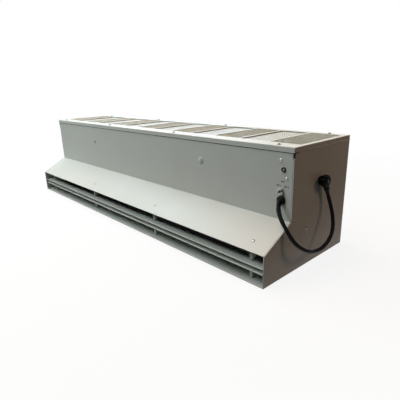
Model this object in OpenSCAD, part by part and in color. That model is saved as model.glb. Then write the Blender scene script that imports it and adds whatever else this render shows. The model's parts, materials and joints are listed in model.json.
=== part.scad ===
// Air curtain with six centrifugal fans, lying on its wall side. All sizes are in millimetres.
// +X runs along the length, the outlet faces -Y and the intake faces +Z.
// The origin is the centre of the four wall holes, on the outer face of the base plate.

/* [Casing] */
// Length over the end panels
casing_length = 1200; // [1160:5:1400]
// Depth of the upper casing, from its front face to its rear face
casing_depth = 243; // [232:1:280]
// Height over the lid
casing_height = 293; // [275:1:330]
// How far the nose stands in front of the front face
nose_depth = 96; // [88:1:120]
// Height of the bend where the sloping hood starts
hood_height = 126.5; // [118:0.5:136]
// Height of the open outlet
outlet_height = 75.5; // [72:0.5:84]
// Thickness of the folded casing sheets
sheet = 1.5; // [1:0.1:2]
// Thickness of the two end panels
end_sheet = 2; // [1.5:0.1:3]
// Radius of the corner relief at the hood bend of an end panel
relief_radius = 1.5; // [1:0.1:3]

/* [Lid] */
// Height of the lid's turned-down flange
lid_flange = 12; // [8:0.5:16]
// Number of windows in the lid, an odd number
bays = 13; // [13:2:13]
// Width of the bar between two windows
bar_width = 8; // [6:0.5:12]
// Lid margin between the last window and the end
end_margin = 10; // [9:0.5:14]
// Lid margin in front of the windows
front_margin = 38; // [34:1:50]
// Lid margin behind the windows
rear_margin = 20; // [19:1:26]
// How far the rear panel stands out behind the lid
rear_step = 2.5; // [2:0.5:4]
// Depth of a mesh screen's down-turned rim below the lid
tray_depth = 7; // [5:0.5:12]

/* [Wall fixing] */
// Distance of a wall hole from the end of the casing
wall_hole_inset = 50; // [45:1:70]
// Distance between the wall holes across the depth
wall_spacing_y = 80; // [60:1:84]
// Radius of a wall hole
wall_hole_radius = 4.5; // [3:0.25:6]

/* [Outlet] */
// Distance of an outer vane post from the end of the casing
post_inset = 50; // [45:1:70]
// Number of vane posts
posts = 4; // [3:1:6]
// Distance of the post axes behind the nose
post_recess = 22; // [20:0.5:26]
// Radius of a post's rod
post_radius = 3; // [2.5:0.1:4]
// Height of the lower vane's pivot
lower_vane_z = 30; // [26:0.5:31]
// Height of the upper vane's pivot above the lower one's
vane_step = 13; // [12:0.5:15]
// Reach of a vane in front of its pivot
vane_front = 19.5; // [16:0.5:20]
// Reach of a vane behind its pivot
vane_rear = 7; // [5:0.5:9]
// Thickness of a vane's blade
vane_thickness = 1.5; // [1:0.1:2]
// Radius of the pivot rods
rod_radius = 1.5; // [1.2:0.1:1.8]

/* [Fans] */
// Radius of an impeller
wheel_radius = 80; // [72:1:82]
// Gap between an impeller's end ring and the side sheet beside it
wheel_side_gap = 3.8; // [2:0.1:8]
// Number of blades on an impeller
blades = 24; // [16:1:30]
// Width of a fan housing over its side sheets
scroll_width = 84; // [80:0.5:86]
// Least gap between an impeller and its housing, beside half a spiral step
wheel_gap = 13; // [10:0.5:14]
// Growth of the housing's spiral in each quarter turn
spiral_step = 10; // [8:0.5:11]
// Thickness of the fan housing's sheet
scroll_sheet = 1.2; // [0.8:0.1:1.5]
// Radius of a fan housing's inlet
inlet_radius = 61; // [50:1:63]
// Height of the outlet duct of a fan housing
duct_height = 70; // [60:1:74]
// Radius of a motor
motor_radius = 44; // [38:1:48]
// Length of a motor's body between its bosses
motor_length = 58; // [50:1:60]
// Radius of a motor shaft
shaft_radius = 4; // [3:0.25:5]

/* [Controls] */
// Distance of the overload cut-out below the top
cutout_drop = 50.5; // [44:0.5:56]
// Distance of the toggle switch below the cut-out
toggle_step = 49.5; // [46:0.5:52]
// Distance of the lead gland below the toggle switch
gland_step = 21; // [20:0.5:22]
// Radius of the side socket's flange
socket_radius = 11; // [10.5:0.5:14]
// Diameter of the lead
lead_diameter = 8.8; // [6:0.1:10]

/* [Hidden] */
$fn = 48;

// Clearances
running_gap = 0.05;       // a shaft or rod in its bore
free_gap = 0.3;           // parts that move past each other
hole_gap = 0.05;          // a screw or bush in its hole

// Faces of the casing
total_depth = casing_depth + nose_depth;
nose_y = -total_depth / 2;
front_y = nose_y + nose_depth;
rear_y = total_depth / 2;
end_x = casing_length / 2;
inner_length = casing_length - 2 * end_sheet;
under_lid = casing_height - sheet;
shelf_z = casing_height - lid_flange;
lid_rear_y = rear_y - rear_step;
cover_inside_y = front_y + sheet;
lip_return = 12;
cover_fold = 20;
slit_width = 1.6;         // gap between the front cover's top corner and an end panel
slit_height = 14;
base_upstand = 15;
rear_shelf = 5;
rear_fold = 16;
hood_rise = (hood_height - outlet_height) / nose_depth;
hood_angle = atan(hood_rise);
hood_drop = sheet / cos(hood_angle);   // vertical thickness of the sloping sheet

// Wall holes
wall_spacing_x = casing_length - 2 * wall_hole_inset;

// Lid and its windows
bay_pitch = (casing_length - 2 * end_margin + bar_width) / bays;
window_front = front_y + front_margin;
window_rear = lid_rear_y - rear_margin;
screen_lap = 6;
screen_gap = 0.4;
screen_width = bay_pitch - screen_gap;
screen_front = window_front - screen_lap;
screen_rear = min(window_rear + screen_lap, rear_y - rear_fold - free_gap);
plate_rows = 11;
plate_columns = 5;
mesh_rows = 10;
mesh_columns = 4;
mesh_wire = 2.5;
lid_screw_front = front_y + 13.5;
lid_screw_rear = rear_y - rear_fold + 5.5;

// Screws: head radius, head height, shank radius, shank length
screw_head = 4;
screw_rise = 2.6;
screw_shank = 2;
screw_length = 9;
small_head = 3.8;
small_rise = 2.2;

// Outlet
post_span = casing_length - 2 * post_inset;
post_y = nose_y + post_recess;
post_head_width = 10;
post_head_front = 2;
post_head_rear = 9;
post_head_z = 51;
hood_screw_y = post_y + 4.5;
upper_vane_z = lower_vane_z + vane_step;
vane_end_gap = 4;
vane_length = inner_length - 2 * vane_end_gap;
barrel_radius = rod_radius + 1.3;
bead_radius = 1.5;
notch_gap = 2;

// Fans
deck_y = front_y + 16.5;
deck_upstand = 12;
deck_foot = 14;
duct_floor = sheet + 6.5;
tongue_z = duct_floor + duct_height;
spiral_radius = wheel_radius + wheel_gap;
tongue_gap = 14;
axis_y = deck_y + tongue_gap + spiral_radius - spiral_step / 2;
axis_z = duct_floor + spiral_radius + 2.5 * spiral_step;
wheel_width = scroll_width - 2 * scroll_sheet - 2 * wheel_side_gap;
blade_inner = wheel_radius * 0.81;
blade_lap = 1.2;          // how far inside the rims' bore a blade starts
blade_length = wheel_radius * 0.18;
blade_angle = 38;
hub_radius = 13;
hub_length = 24;
ring_sheet = 1.2;
motor_boss_radius = 17;
motor_boss_length = 9;
ring_radius = motor_boss_radius + 6;
ring_width = 6;
cradle_sheet = 2;
cradle_width = 64;
capacitor_radius = 14;
capacitor_height = 52;
capacitor_y = deck_y + capacitor_radius + 6;

// Controls, near the right end of the front face
cutout_z = casing_height - cutout_drop;
toggle_z = cutout_z - toggle_step;
gland_z = toggle_z - gland_step;
toggle_x = end_x - 30;
toggle_bush_radius = 6;
toggle_bush_length = 6;
toggle_bore = 3.8;
toggle_pivot = 1;
toggle_pin = 1;
lever_length = 16.5;
cutout_x = end_x - 25.25;
cutout_screw_dx = 8.25;
cutout_screw_dz = 19.5;
collar_radius = 5.2;
collar_length = 3;
button_radius = 2.9;
button_sunk = 0.5;
gland_x = end_x - 29;
gland_reach = 9.5;
gland_neck = 14;
gland_lean = 30.8;        // how far the neck leans from straight down
gland_turn = -55.2;       // which way it leans, about Z
gland_thread = 8;
gland_flange = 10.8;
gland_flange_depth = 6.5;
gland_nut = 10;
deck_nut_gap = 12;
deck_top = gland_z - gland_nut - deck_nut_gap - deck_upstand;
dome_radius = 11;
dome_stem = 9;
dome_z = casing_height - 64.5;
dome_x = [-289, 311];
socket_y = 39.5;
socket_z = casing_height - 92;
socket_reach = 6;
socket_tail_radius = 9;
plug_radius = 15;
plug_depth = 15;
plug_axis_x = end_x + 12;
plug_turn = 25.7;
plug_neck_start = socket_radius;
plug_neck = 22;
plug_neck_root = 7.2;
plug_neck_end = 6.8;
plug_reach = 30;
rivet_y = -10;
rivet_z = 94;

// Route of the lead: the first and last points are the mouths of the gland and of the plug
gland_along = [
    sin(gland_lean) * cos(gland_turn), sin(gland_lean) * sin(gland_turn), -cos(gland_lean)
];
gland_mouth = [gland_x, front_y - gland_reach, gland_z] + gland_neck * gland_along;
plug_mouth = [plug_axis_x, socket_y + plug_reach * sin(plug_turn), socket_z - plug_reach * cos(plug_turn)];
lead_route = [
    gland_mouth,
    [583.8, -95.5, 144.2], [595.6, -98.7, 129.2], [606.9, -98, 113.7], [616, -93.4, 97.4],
    [623.9, -84.1, 82.5], [630.6, -70.6, 70.6], [634, -54.2, 61.1], [633.9, -36.3, 54],
    [634.6, -17.4, 50.3], [637, 1.5, 51.9], [639, 19, 59.7], [639.3, 33.9, 71.8],
    [636.7, 46.4, 86.2], [631.1, 55.7, 102.1], [624.6, 61, 119.5], [618.6, 62.2, 137.7],
    [614, 59.4, 156.1],
    plug_mouth
];
lead_start = gland_along;
lead_finish = [0, -sin(plug_turn), cos(plug_turn)];
lead_sides = 10;

// Colours
paint = [0.78, 0.79, 0.77];
zinc = [0.66, 0.68, 0.70];
dark_mesh = [0.32, 0.31, 0.28];
black = [0.06, 0.06, 0.07];
bright = [0.80, 0.80, 0.82];
motor_grey = [0.30, 0.31, 0.33];

// Centre of a lid bay, counted from 0 at the left end
function bay_x(bay) = (bay - (bays - 1) / 2) * bay_pitch;
// Centre of a fan, counted from 1 at the left end: each sits under every second bay
function fan_x(fan) = bay_x(2 * fan - 1);
// Centre of a motor, between the fans that it drives
function motor_x(motor) = (fan_x(2 * motor - 1) + fan_x(2 * motor)) / 2;
function post_x(i) = (i / (posts - 1) - 0.5) * post_span;
// Height of the hood's outer face
function hood_z(y) = outlet_height + (y - nose_y) * hood_rise;

function unit(v) = v / norm(v);
function left_of(v) = [-v.y, v.x];
function edge_normal(points, i) = left_of(unit(points[i + 1] - points[i]));
function inner_point(points, i, thickness) =
    let (before = edge_normal(points, max(i - 1, 0)),
         after = edge_normal(points, min(i, len(points) - 2)))
    points[i] + thickness * (before + after) / (1 + before * after);

// Extrudes a drawing made in Y and Z along X, about the middle
module along_x(length) {
    rotate([90, 0, 90]) linear_extrude(length, center = true) children();
}

// A bent sheet: its outer line in Y and Z, with the thickness on the line's left
module folded(points, thickness, length) {
    last = len(points) - 1;
    inner = [for (i = [last:-1:0]) inner_point(points, i, thickness)];
    along_x(length) polygon(concat(points, inner));
}

// A box between two corners
module block(low, high) {
    translate(low) cube(high - low);
}

// A cylinder along X from x1 to x2
module rod_x(radius, x1, x2) {
    translate([x1, 0, 0]) rotate([0, 90, 0]) cylinder(r = radius, h = x2 - x1);
}

// A cylinder along Y from y1 to y2
module rod_y(radius, y1, y2) {
    translate([0, y1, 0]) rotate([-90, 0, 0]) cylinder(r = radius, h = y2 - y1);
}

// A pan-head screw with a cross slot, its head's underside at Z 0
module pan_screw(head, rise, shank, length) {
    slot = head * 0.22;
    difference() {
        union() {
            rotate_extrude() intersection() {
                square([head, rise]);
                translate([0, rise - 1.7 * head]) circle(1.7 * head);
            }
            translate([0, 0, -length]) cylinder(r = shank, h = length + 0.1);
        }
        for (turn = [0, 90]) rotate(turn)
            translate([-head * 0.6, -slot / 2, rise * 0.5]) cube([head * 1.2, slot, rise]);
    }
}

// A hole for a screw's shank, to a depth below its head's seat
module screw_hole(depth) {
    translate([0, 0, -depth]) cylinder(r = screw_shank + hole_gap, h = depth + screw_shank);
}

module at_lid_screws() {
    for (i = [0:posts - 1], y = [lid_screw_front, lid_screw_rear])
        translate([post_x(i), y, casing_height]) children();
}

module at_hood_screws() {
    for (i = [0:posts - 1])
        translate([post_x(i), hood_screw_y, hood_z(hood_screw_y)]) rotate([hood_angle, 0, 0]) children();
}

module at_cutout_screws() {
    for (side = [-1, 1])
        translate([cutout_x + side * cutout_screw_dx, front_y, cutout_z - side * cutout_screw_dz])
            rotate([90, 0, 0]) children();
}

module base_plate() {
    color(paint) difference() {
        folded([[nose_y, 0], [rear_y - sheet, 0], [rear_y - sheet, base_upstand]], sheet, inner_length);
        for (x = [-1, 1], y = [-1, 1])
            translate([x * wall_spacing_x / 2, y * wall_spacing_y / 2, -1])
                cylinder(r = wall_hole_radius, h = sheet + 2);
    }
}

module front_cover() {
    color(paint) difference() {
        folded([
            [front_y + cover_fold, under_lid], [front_y, under_lid], [front_y, hood_height],
            [nose_y, outlet_height], [nose_y + lip_return, outlet_height]
        ], sheet, inner_length);
        at_lid_screws() screw_hole(screw_length);
        at_hood_screws() screw_hole(2 * sheet);
        at_cutout_screws() screw_hole(2 * sheet);
        for (x = dome_x) translate([x, 0, dome_z])
            rod_y(dome_stem + hole_gap, front_y - 1, front_y + 2 * sheet);
        translate([toggle_x, 0, toggle_z])
            rod_y(toggle_bush_radius + hole_gap, front_y - 1, front_y + 2 * sheet);
        translate([cutout_x, 0, cutout_z]) rod_y(collar_radius + hole_gap, front_y - 1, front_y + 2 * sheet);
        translate([gland_x, 0, gland_z]) rod_y(gland_thread + hole_gap, front_y - 1, front_y + 2 * sheet);
        for (side = [-1, 1]) translate([side * inner_length / 2, front_y, shelf_z])
            block([-slit_width, -1, -slit_height], [slit_width, 2 * sheet, 0]);
    }
}

module rear_panel() {
    fold_y = rear_y - rear_shelf;
    color(paint) difference() {
        folded([
            [rear_y, 0], [rear_y, shelf_z], [fold_y, shelf_z],
            [fold_y, under_lid], [rear_y - rear_fold, under_lid]
        ], sheet, inner_length);
        at_lid_screws() screw_hole(screw_length);
    }
}

// Outline of an end panel, in Y and Z
module end_outline() {
    step_y = lid_rear_y - sheet;
    difference() {
        polygon([
            [nose_y, 0], [rear_y, 0], [rear_y, shelf_z], [step_y, shelf_z], [step_y, under_lid],
            [front_y, under_lid], [front_y, hood_height], [nose_y, outlet_height]
        ]);
        translate([front_y, hood_height]) circle(relief_radius);
    }
}

module end_panel(side) {
    color(paint) difference() {
        translate([side * (end_x - end_sheet / 2), 0, 0]) along_x(end_sheet) end_outline();
        translate([side * end_x, rivet_y, rivet_z])
            rod_x(screw_shank + hole_gap, -2 * end_sheet, 2 * end_sheet);
        if (side > 0) translate([end_x, socket_y, socket_z])
            rod_x(socket_tail_radius + hole_gap, -2 * end_sheet, end_sheet);
    }
}

module lid() {
    color(paint) difference() {
        block([-end_x - sheet, front_y - sheet, shelf_z], [end_x + sheet, lid_rear_y, casing_height]);
        block([-end_x, front_y, shelf_z - 1], [end_x, lid_rear_y - sheet, under_lid]);
        for (bay = [0:bays - 1]) translate([bay_x(bay), 0, 0])
            block([(bar_width - bay_pitch) / 2, window_front, shelf_z],
                  [(bay_pitch - bar_width) / 2, window_rear, casing_height + 1]);
        at_lid_screws() screw_hole(2 * sheet);
    }
}

module perforated_plate(fan) {
    hole_x = (bay_pitch - bar_width) / plate_columns;
    hole_y = (window_rear - window_front) / plate_rows;
    color(paint) translate([fan_x(fan), 0, under_lid - sheet]) linear_extrude(sheet) difference() {
        translate([-screen_width / 2, screen_front]) square([screen_width, screen_rear - screen_front]);
        for (column = [0:plate_columns - 1], row = [0:plate_rows - 1])
            translate([(column - (plate_columns - 1) / 2) * hole_x, window_front + (row + 0.5) * hole_y])
                circle(r = min(hole_x, hole_y) * 0.32, $fn = 6);
    }
}

// A fine screen right under the lid, with a rim turned down on all four sides
module mesh_screen() {
    wall = 1;
    open_x = screen_width / 2 - wall;
    open_front = screen_front + wall;
    open_rear = screen_rear - wall;
    cell_x = 2 * open_x / mesh_columns;
    cell_y = (open_rear - open_front) / mesh_rows;
    translate([0, 0, under_lid - tray_depth]) difference() {
        block([-screen_width / 2, screen_front, 0], [screen_width / 2, screen_rear, tray_depth]);
        block([-open_x, open_front, -1], [open_x, open_rear, tray_depth - wall]);
        for (column = [0:mesh_columns - 1], row = [0:mesh_rows - 1])
            translate([-open_x + column * cell_x, open_front + row * cell_y, tray_depth])
                block([mesh_wire / 2, mesh_wire / 2, -2 * wall],
                      [cell_x - mesh_wire / 2, cell_y - mesh_wire / 2, 1]);
    }
}

module mesh_screens() {
    color(dark_mesh) for (bay = [0:2:bays - 1]) translate([bay_x(bay), 0, 0]) mesh_screen();
}

module lid_screws() {
    color(bright) at_lid_screws() pan_screw(screw_head, screw_rise, screw_shank, screw_length);
}

module hood_screws() {
    color(bright) at_hood_screws() pan_screw(small_head, small_rise, screw_shank, screw_length);
}

module cutout_screws() {
    color(bright) at_cutout_screws() pan_screw(small_head, small_rise, screw_shank, screw_length);
}

module blanking_plugs() {
    rise = 3;
    cap = (dome_radius * dome_radius + rise * rise) / (2 * rise);
    color(paint) for (x = dome_x) translate([x, front_y, dome_z]) rotate([90, 0, 0]) {
        rotate_extrude() intersection() {
            square([dome_radius, rise]);
            translate([0, rise - cap]) circle(cap, $fn = 96);
        }
        translate([0, 0, -sheet - 2]) cylinder(r = dome_stem, h = sheet + 2.1);
    }
}

module end_rivets() {
    head = 3.5;
    color(bright) for (side = [-1, 1])
        translate([side * end_x, rivet_y, rivet_z]) rotate([0, side * 90, 0])
            pan_screw(head, 1.6, screw_shank, end_sheet + 2);
}

// Everything of the outlet that lies under the hood's inner face
module under_hood() {
    low = -5;
    along_x(casing_length) polygon([
        [nose_y, low], [front_y, low], [front_y, hood_z(front_y) - hood_drop],
        [nose_y, hood_z(nose_y) - hood_drop]
    ]);
}

module vane_posts() {
    color(paint) difference() {
        intersection() {
            for (i = [0:posts - 1]) translate([post_x(i), post_y, 0]) {
                translate([0, 0, sheet]) cylinder(r = post_radius, h = hood_height);
                block([-post_head_width / 2, -post_head_front, post_head_z],
                      [post_head_width / 2, post_head_rear, hood_height]);
            }
            under_hood();
        }
        at_hood_screws() screw_hole(screw_length + 1);
        for (z = [lower_vane_z, upper_vane_z]) translate([0, post_y, z])
            rod_x(rod_radius + hole_gap, -end_x, end_x);
    }
}

module vane_rod(z) {
    color(zinc) translate([0, post_y, z]) rod_x(rod_radius, -vane_length / 2, vane_length / 2);
}

// A vane's blade with a beaded front edge and a barrel round its rod, cut away at the posts
module vane(z) {
    notch = post_radius + notch_gap;
    color(paint) translate([0, post_y, z]) difference() {
        along_x(vane_length) difference() {
            union() {
                translate([-vane_front, -vane_thickness / 2])
                    square([vane_front + vane_rear, vane_thickness]);
                translate([bead_radius - vane_front, 0]) circle(bead_radius);
                circle(barrel_radius);
            }
            circle(rod_radius + running_gap);
        }
        for (i = [0:posts - 1]) translate([post_x(i), 0, 0])
            block([-notch, -notch, -10], [notch, vane_rear + 1, 10]);
    }
}

module fan_deck() {
    color(zinc) difference() {
        folded([
            [deck_y - deck_foot, sheet], [deck_y, sheet], [deck_y, deck_top],
            [cover_inside_y + sheet, deck_top], [cover_inside_y + sheet, deck_top + deck_upstand]
        ], sheet, inner_length);
        for (fan = [1:6]) translate([fan_x(fan), deck_y, 0])
            block([scroll_sheet - scroll_width / 2, -2 * sheet, duct_floor + scroll_sheet],
                  [scroll_width / 2 - scroll_sheet, sheet, tongue_z - scroll_sheet]);
    }
}

// The spiral's outline in Y and Z about the fan's axis, drawn in from its sheet by inset
module spiral(inset) {
    half = spiral_step / 2;
    r = spiral_radius - inset;
    low = duct_floor - axis_z + inset;
    reach = 2 * spiral_radius;
    intersection() {
        translate([half, half]) circle(r, $fn = 96);
        translate([half - reach, half]) square(reach);
    }
    intersection() {
        translate([half, -half]) circle(r + spiral_step, $fn = 96);
        translate([half, -half]) square(reach);
    }
    intersection() {
        translate([-half, -half]) circle(r + 2 * spiral_step, $fn = 96);
        translate([-half, -half - reach]) square(reach);
    }
    intersection() {
        translate([-half, half]) circle(r - spiral_step, $fn = 96);
        translate([-half - reach, half - reach]) square(reach);
    }
    translate([-half, -half]) square(spiral_step);
    translate([deck_y - axis_y, low]) square([axis_y - deck_y - half, tongue_z - duct_floor - 2 * inset]);
}

module scroll(fan) {
    color(zinc) translate([fan_x(fan), axis_y, axis_z]) difference() {
        along_x(scroll_width) spiral(0);
        along_x(scroll_width - 2 * scroll_sheet) spiral(scroll_sheet);
        rod_x(inlet_radius, -scroll_width, scroll_width);
        translate([0, deck_y - axis_y - 1, duct_floor - axis_z])
            block([scroll_sheet - scroll_width / 2, 0, scroll_sheet],
                  [scroll_width / 2 - scroll_sheet, 3, tongue_z - duct_floor - scroll_sheet]);
    }
}

module impeller(fan) {
    half = wheel_width / 2;
    color(bright) translate([fan_x(fan), axis_y, axis_z]) difference() {
        union() {
            along_x(wheel_width) for (i = [0:blades - 1]) rotate(i * 360 / blades)
                translate([blade_inner + blade_lap, 0]) rotate(blade_angle) square([blade_length, 1]);
            for (x = [-half, half - ring_sheet]) difference() {
                rod_x(wheel_radius, x, x + ring_sheet);
                rod_x(blade_inner, x - 1, x + ring_sheet + 1);
            }
            rod_x(wheel_radius, -ring_sheet / 2, ring_sheet / 2);
            rod_x(hub_radius, -hub_length / 2, hub_length / 2);
        }
        rod_x(shaft_radius + hole_gap, -wheel_width, wheel_width);
    }
}

module motor(motor) {
    half = motor_length / 2;
    color(motor_grey) translate([motor_x(motor), axis_y, axis_z]) difference() {
        union() {
            rod_x(motor_radius, -half, half);
            rod_x(motor_boss_radius, -half - motor_boss_length, half + motor_boss_length);
        }
        rod_x(shaft_radius + running_gap, -motor_length, motor_length);
        for (turn = [0:30:330]) rotate([turn, 0, 0]) translate([0, motor_radius, 0])
            rod_x(2, -motor_length, motor_length);
    }
}

module motor_shaft(motor) {
    half = fan_x(2) - motor_x(1) + hub_length / 2 + 4;
    color(bright) translate([motor_x(motor), axis_y, axis_z]) rod_x(shaft_radius, -half, half);
}

module motor_cradles() {
    ring_x = (motor_length + motor_boss_length) / 2;
    color(zinc) for (motor = [1:3]) translate([motor_x(motor), axis_y, 0]) {
        block([-ring_x, -cradle_width / 2, sheet], [ring_x, cradle_width / 2, sheet + cradle_sheet]);
        for (side = [-1, 1]) translate([side * ring_x, 0, 0]) along_x(cradle_sheet) difference() {
            union() {
                translate([-cradle_width / 2, sheet]) square([cradle_width, axis_z - sheet]);
                translate([0, axis_z]) circle(cradle_width / 2);
            }
            translate([0, axis_z]) circle(ring_radius);
        }
    }
}

module rubber_rings() {
    ring_x = (motor_length + motor_boss_length) / 2;
    color(black) for (motor = [1:3], side = [-1, 1])
        translate([motor_x(motor) + side * ring_x, axis_y, axis_z]) difference() {
            rod_x(ring_radius, -ring_width / 2, ring_width / 2);
            rod_x(motor_boss_radius, -ring_width, ring_width);
        }
}

module capacitors() {
    color(paint) for (motor = [1:3]) translate([motor_x(motor), capacitor_y, sheet]) {
        cylinder(r = capacitor_radius, h = capacitor_height);
        for (side = [-1, 1]) translate([side * 5, 0, capacitor_height])
            block([-0.5, -3, 0], [0.5, 3, 7]);
    }
}

// The switch, with an upright pin across its bush for the lever
module toggle_body() {
    color(black) translate([toggle_x, front_y, toggle_z]) {
        difference() {
            union() {
                block([-6.5, sheet, -9.5], [6.5, sheet + 20, 9.5]);
                rod_y(toggle_bush_radius, -toggle_bush_length, sheet + 1);
                for (z = [-6, 0, 6]) block([-2.5, sheet + 19, z - 0.5], [2.5, sheet + 26, z + 0.5]);
            }
            rod_y(toggle_bore, -toggle_bush_length - 1, 3);
        }
        translate([0, -toggle_pivot, 0]) cylinder(r = toggle_pin, h = 2 * toggle_bore + 1, center = true);
    }
}

module toggle_nut() {
    color(bright) translate([toggle_x, front_y, toggle_z]) difference() {
        rotate([90, 0, 0]) cylinder(r = 8.1, h = 3, $fn = 6);
        rod_y(toggle_bush_radius + hole_gap, -5, 1);
    }
}

module toggle_lever() {
    root = 1.6;
    tip = 2.6;
    color(bright) translate([toggle_x, front_y - toggle_pivot, toggle_z]) difference() {
        rotate([90, 0, 0]) {
            sphere(toggle_bore - free_gap);
            cylinder(r1 = root, r2 = tip, h = lever_length - tip);
            translate([0, 0, lever_length - tip]) sphere(tip);
        }
        cylinder(r = toggle_pin + running_gap, h = 2 * toggle_bore, center = true);
    }
}

module cutout_body() {
    color(black) difference() {
        translate([cutout_x, front_y, cutout_z]) block([-14, sheet, -24], [14, sheet + 26, 24]);
        translate([cutout_x, front_y, cutout_z]) rod_y(button_radius + free_gap, 0, sheet + 8);
        at_cutout_screws() screw_hole(screw_length + 1);
    }
}

module cutout_collar() {
    color(black) translate([cutout_x, front_y, cutout_z]) difference() {
        rod_y(collar_radius, -collar_length, sheet);
        rod_y(button_radius + free_gap, -collar_length - 1, sheet + 1);
    }
}

module reset_button() {
    color([0.85, 0.84, 0.80]) translate([cutout_x, front_y, cutout_z])
        rod_y(button_radius, button_sunk, sheet + 4);
}

module lead_gland() {
    mouth_radius = lead_diameter / 2 + 0.7;
    elbow_radius = lead_diameter / 2 + 1.3;
    bevel = 2.5;
    color(black) translate([gland_x, front_y, gland_z]) {
        rotate([90, 0, 0]) rotate_extrude() polygon([
            [0, 0], [gland_flange, 0], [gland_flange, gland_flange_depth - bevel],
            [gland_flange - bevel, gland_flange_depth], [0, gland_flange_depth]
        ]);
        rod_y(gland_thread, -1, sheet + 8);
        rod_y(elbow_radius, -gland_reach, 0);
        translate([0, -gland_reach, 0]) {
            sphere(elbow_radius);
            rotate([0, 180 - gland_lean, gland_turn])
                cylinder(r1 = elbow_radius - 0.1, r2 = mouth_radius, h = gland_neck);
        }
    }
}

module gland_locknut() {
    color(black) translate([gland_x, front_y, gland_z]) difference() {
        rotate([-90, 0, 0]) translate([0, 0, sheet]) cylinder(r = gland_nut, h = 5, $fn = 6);
        rod_y(gland_thread + hole_gap, 0, sheet + 9);
    }
}

// Ring of the lead's tube at a point of its route, square to the route
function lead_tangent(i) =
    i == 0 ? lead_start
    : i == len(lead_route) - 1 ? lead_finish
    : unit(lead_route[i + 1] - lead_route[i - 1]);
function lead_ring(i) =
    let (along = lead_tangent(i),
         across = unit([1, 0, 0] - along.x * along),
         up = cross(along, across))
    [for (side = [0:lead_sides - 1])
        lead_route[i] + lead_diameter / 2
            * (cos(side * 360 / lead_sides) * across + sin(side * 360 / lead_sides) * up)];

module supply_lead() {
    last = len(lead_route) - 1;
    points = [for (i = [0:last]) each lead_ring(i)];
    start_cap = [[for (side = [0:lead_sides - 1]) side]];
    end_cap = [[for (side = [lead_sides - 1:-1:0]) last * lead_sides + side]];
    walls = [for (i = [0:last - 1], side = [0:lead_sides - 1])
        let (a = i * lead_sides + side,
             b = i * lead_sides + (side + 1) % lead_sides)
        each [[a, a + lead_sides, b], [b, a + lead_sides, b + lead_sides]]];
    color(black) polyhedron(points, concat(start_cap, end_cap, walls));
}

module side_socket() {
    color(black) translate([end_x, socket_y, socket_z]) {
        rod_x(socket_radius, 0, 3);
        rod_x(socket_radius - 1, 0, socket_reach);
        rod_x(socket_tail_radius, -16, 1);
    }
}

module socket_nut() {
    color(black) translate([end_x - end_sheet, socket_y, socket_z]) difference() {
        rotate([0, -90, 0]) cylinder(r = 12, h = 4, $fn = 6);
        rod_x(socket_tail_radius + hole_gap, -6, 2);
    }
}

// Places what lies along the plug's cable outlet: Z runs out of the plug
module along_plug_neck() {
    translate([plug_axis_x, socket_y, socket_z]) rotate([180 + plug_turn, 0, 0]) children();
}

module elbow_plug() {
    edge = 3;
    color(black) {
        translate([end_x + socket_reach, socket_y, socket_z]) rotate([0, 90, 0]) rotate_extrude()
            polygon([
                [0, 0], [plug_radius - edge, 0], [plug_radius, edge], [plug_radius, plug_depth - edge],
                [plug_radius - edge, plug_depth], [0, plug_depth]
            ]);
        along_plug_neck() translate([0, 0, plug_neck_start])
            cylinder(r1 = plug_neck_root, r2 = plug_neck_end, h = plug_neck - plug_neck_start);
    }
}

module plug_nut() {
    mouth_radius = lead_diameter / 2 + 0.8;
    color(black) along_plug_neck() translate([0, 0, plug_neck])
        cylinder(r1 = plug_neck_end - 0.4, r2 = mouth_radius, h = plug_reach - plug_neck);
}

module terminal_block() {
    block_x = bay_x(bays - 1);
    color([0.85, 0.85, 0.80]) translate([block_x, axis_y, sheet]) difference() {
        block([-11, -30, 0], [11, 30, 18]);
        for (i = [-2:2]) translate([0, i * 11, 10]) cylinder(r = 2.5, h = 10);
    }
}

// The cable bundle on the base plate behind the deck, under the ducts
module wiring_loom() {
    radius = 2.8;
    loom_y = deck_y + radius + 0.2;
    color(black) translate([0, loom_y, sheet + radius])
        rod_x(radius, motor_x(1), bay_x(bays - 1));
}

base_plate();
front_cover();
rear_panel();
end_panel(-1);  // left_end_panel
end_panel(1);  // right_end_panel
lid();
perforated_plate(1);  // perforated_plate_1
perforated_plate(2);  // perforated_plate_2
perforated_plate(3);  // perforated_plate_3
perforated_plate(4);  // perforated_plate_4
perforated_plate(5);  // perforated_plate_5
perforated_plate(6);  // perforated_plate_6
mesh_screens();
lid_screws();
blanking_plugs();
hood_screws();
vane_posts();
vane(upper_vane_z);  // upper_vane
vane(lower_vane_z);  // lower_vane
vane_rod(upper_vane_z);  // upper_rod
vane_rod(lower_vane_z);  // lower_rod
fan_deck();
scroll(1);  // scroll_1
scroll(2);  // scroll_2
scroll(3);  // scroll_3
scroll(4);  // scroll_4
scroll(5);  // scroll_5
scroll(6);  // scroll_6
impeller(1);  // impeller_1
impeller(2);  // impeller_2
impeller(3);  // impeller_3
impeller(4);  // impeller_4
impeller(5);  // impeller_5
impeller(6);  // impeller_6
motor(1);  // motor_left
motor(2);  // motor_middle
motor(3);  // motor_right
motor_shaft(1);  // shaft_left
motor_shaft(2);  // shaft_middle
motor_shaft(3);  // shaft_right
motor_cradles();
rubber_rings();
capacitors();
toggle_body();
toggle_nut();
toggle_lever();
cutout_body();
cutout_collar();
reset_button();
cutout_screws();
lead_gland();
gland_locknut();
supply_lead();
elbow_plug();
plug_nut();
side_socket();
socket_nut();
end_rivets();
terminal_block();
wiring_loom();
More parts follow.
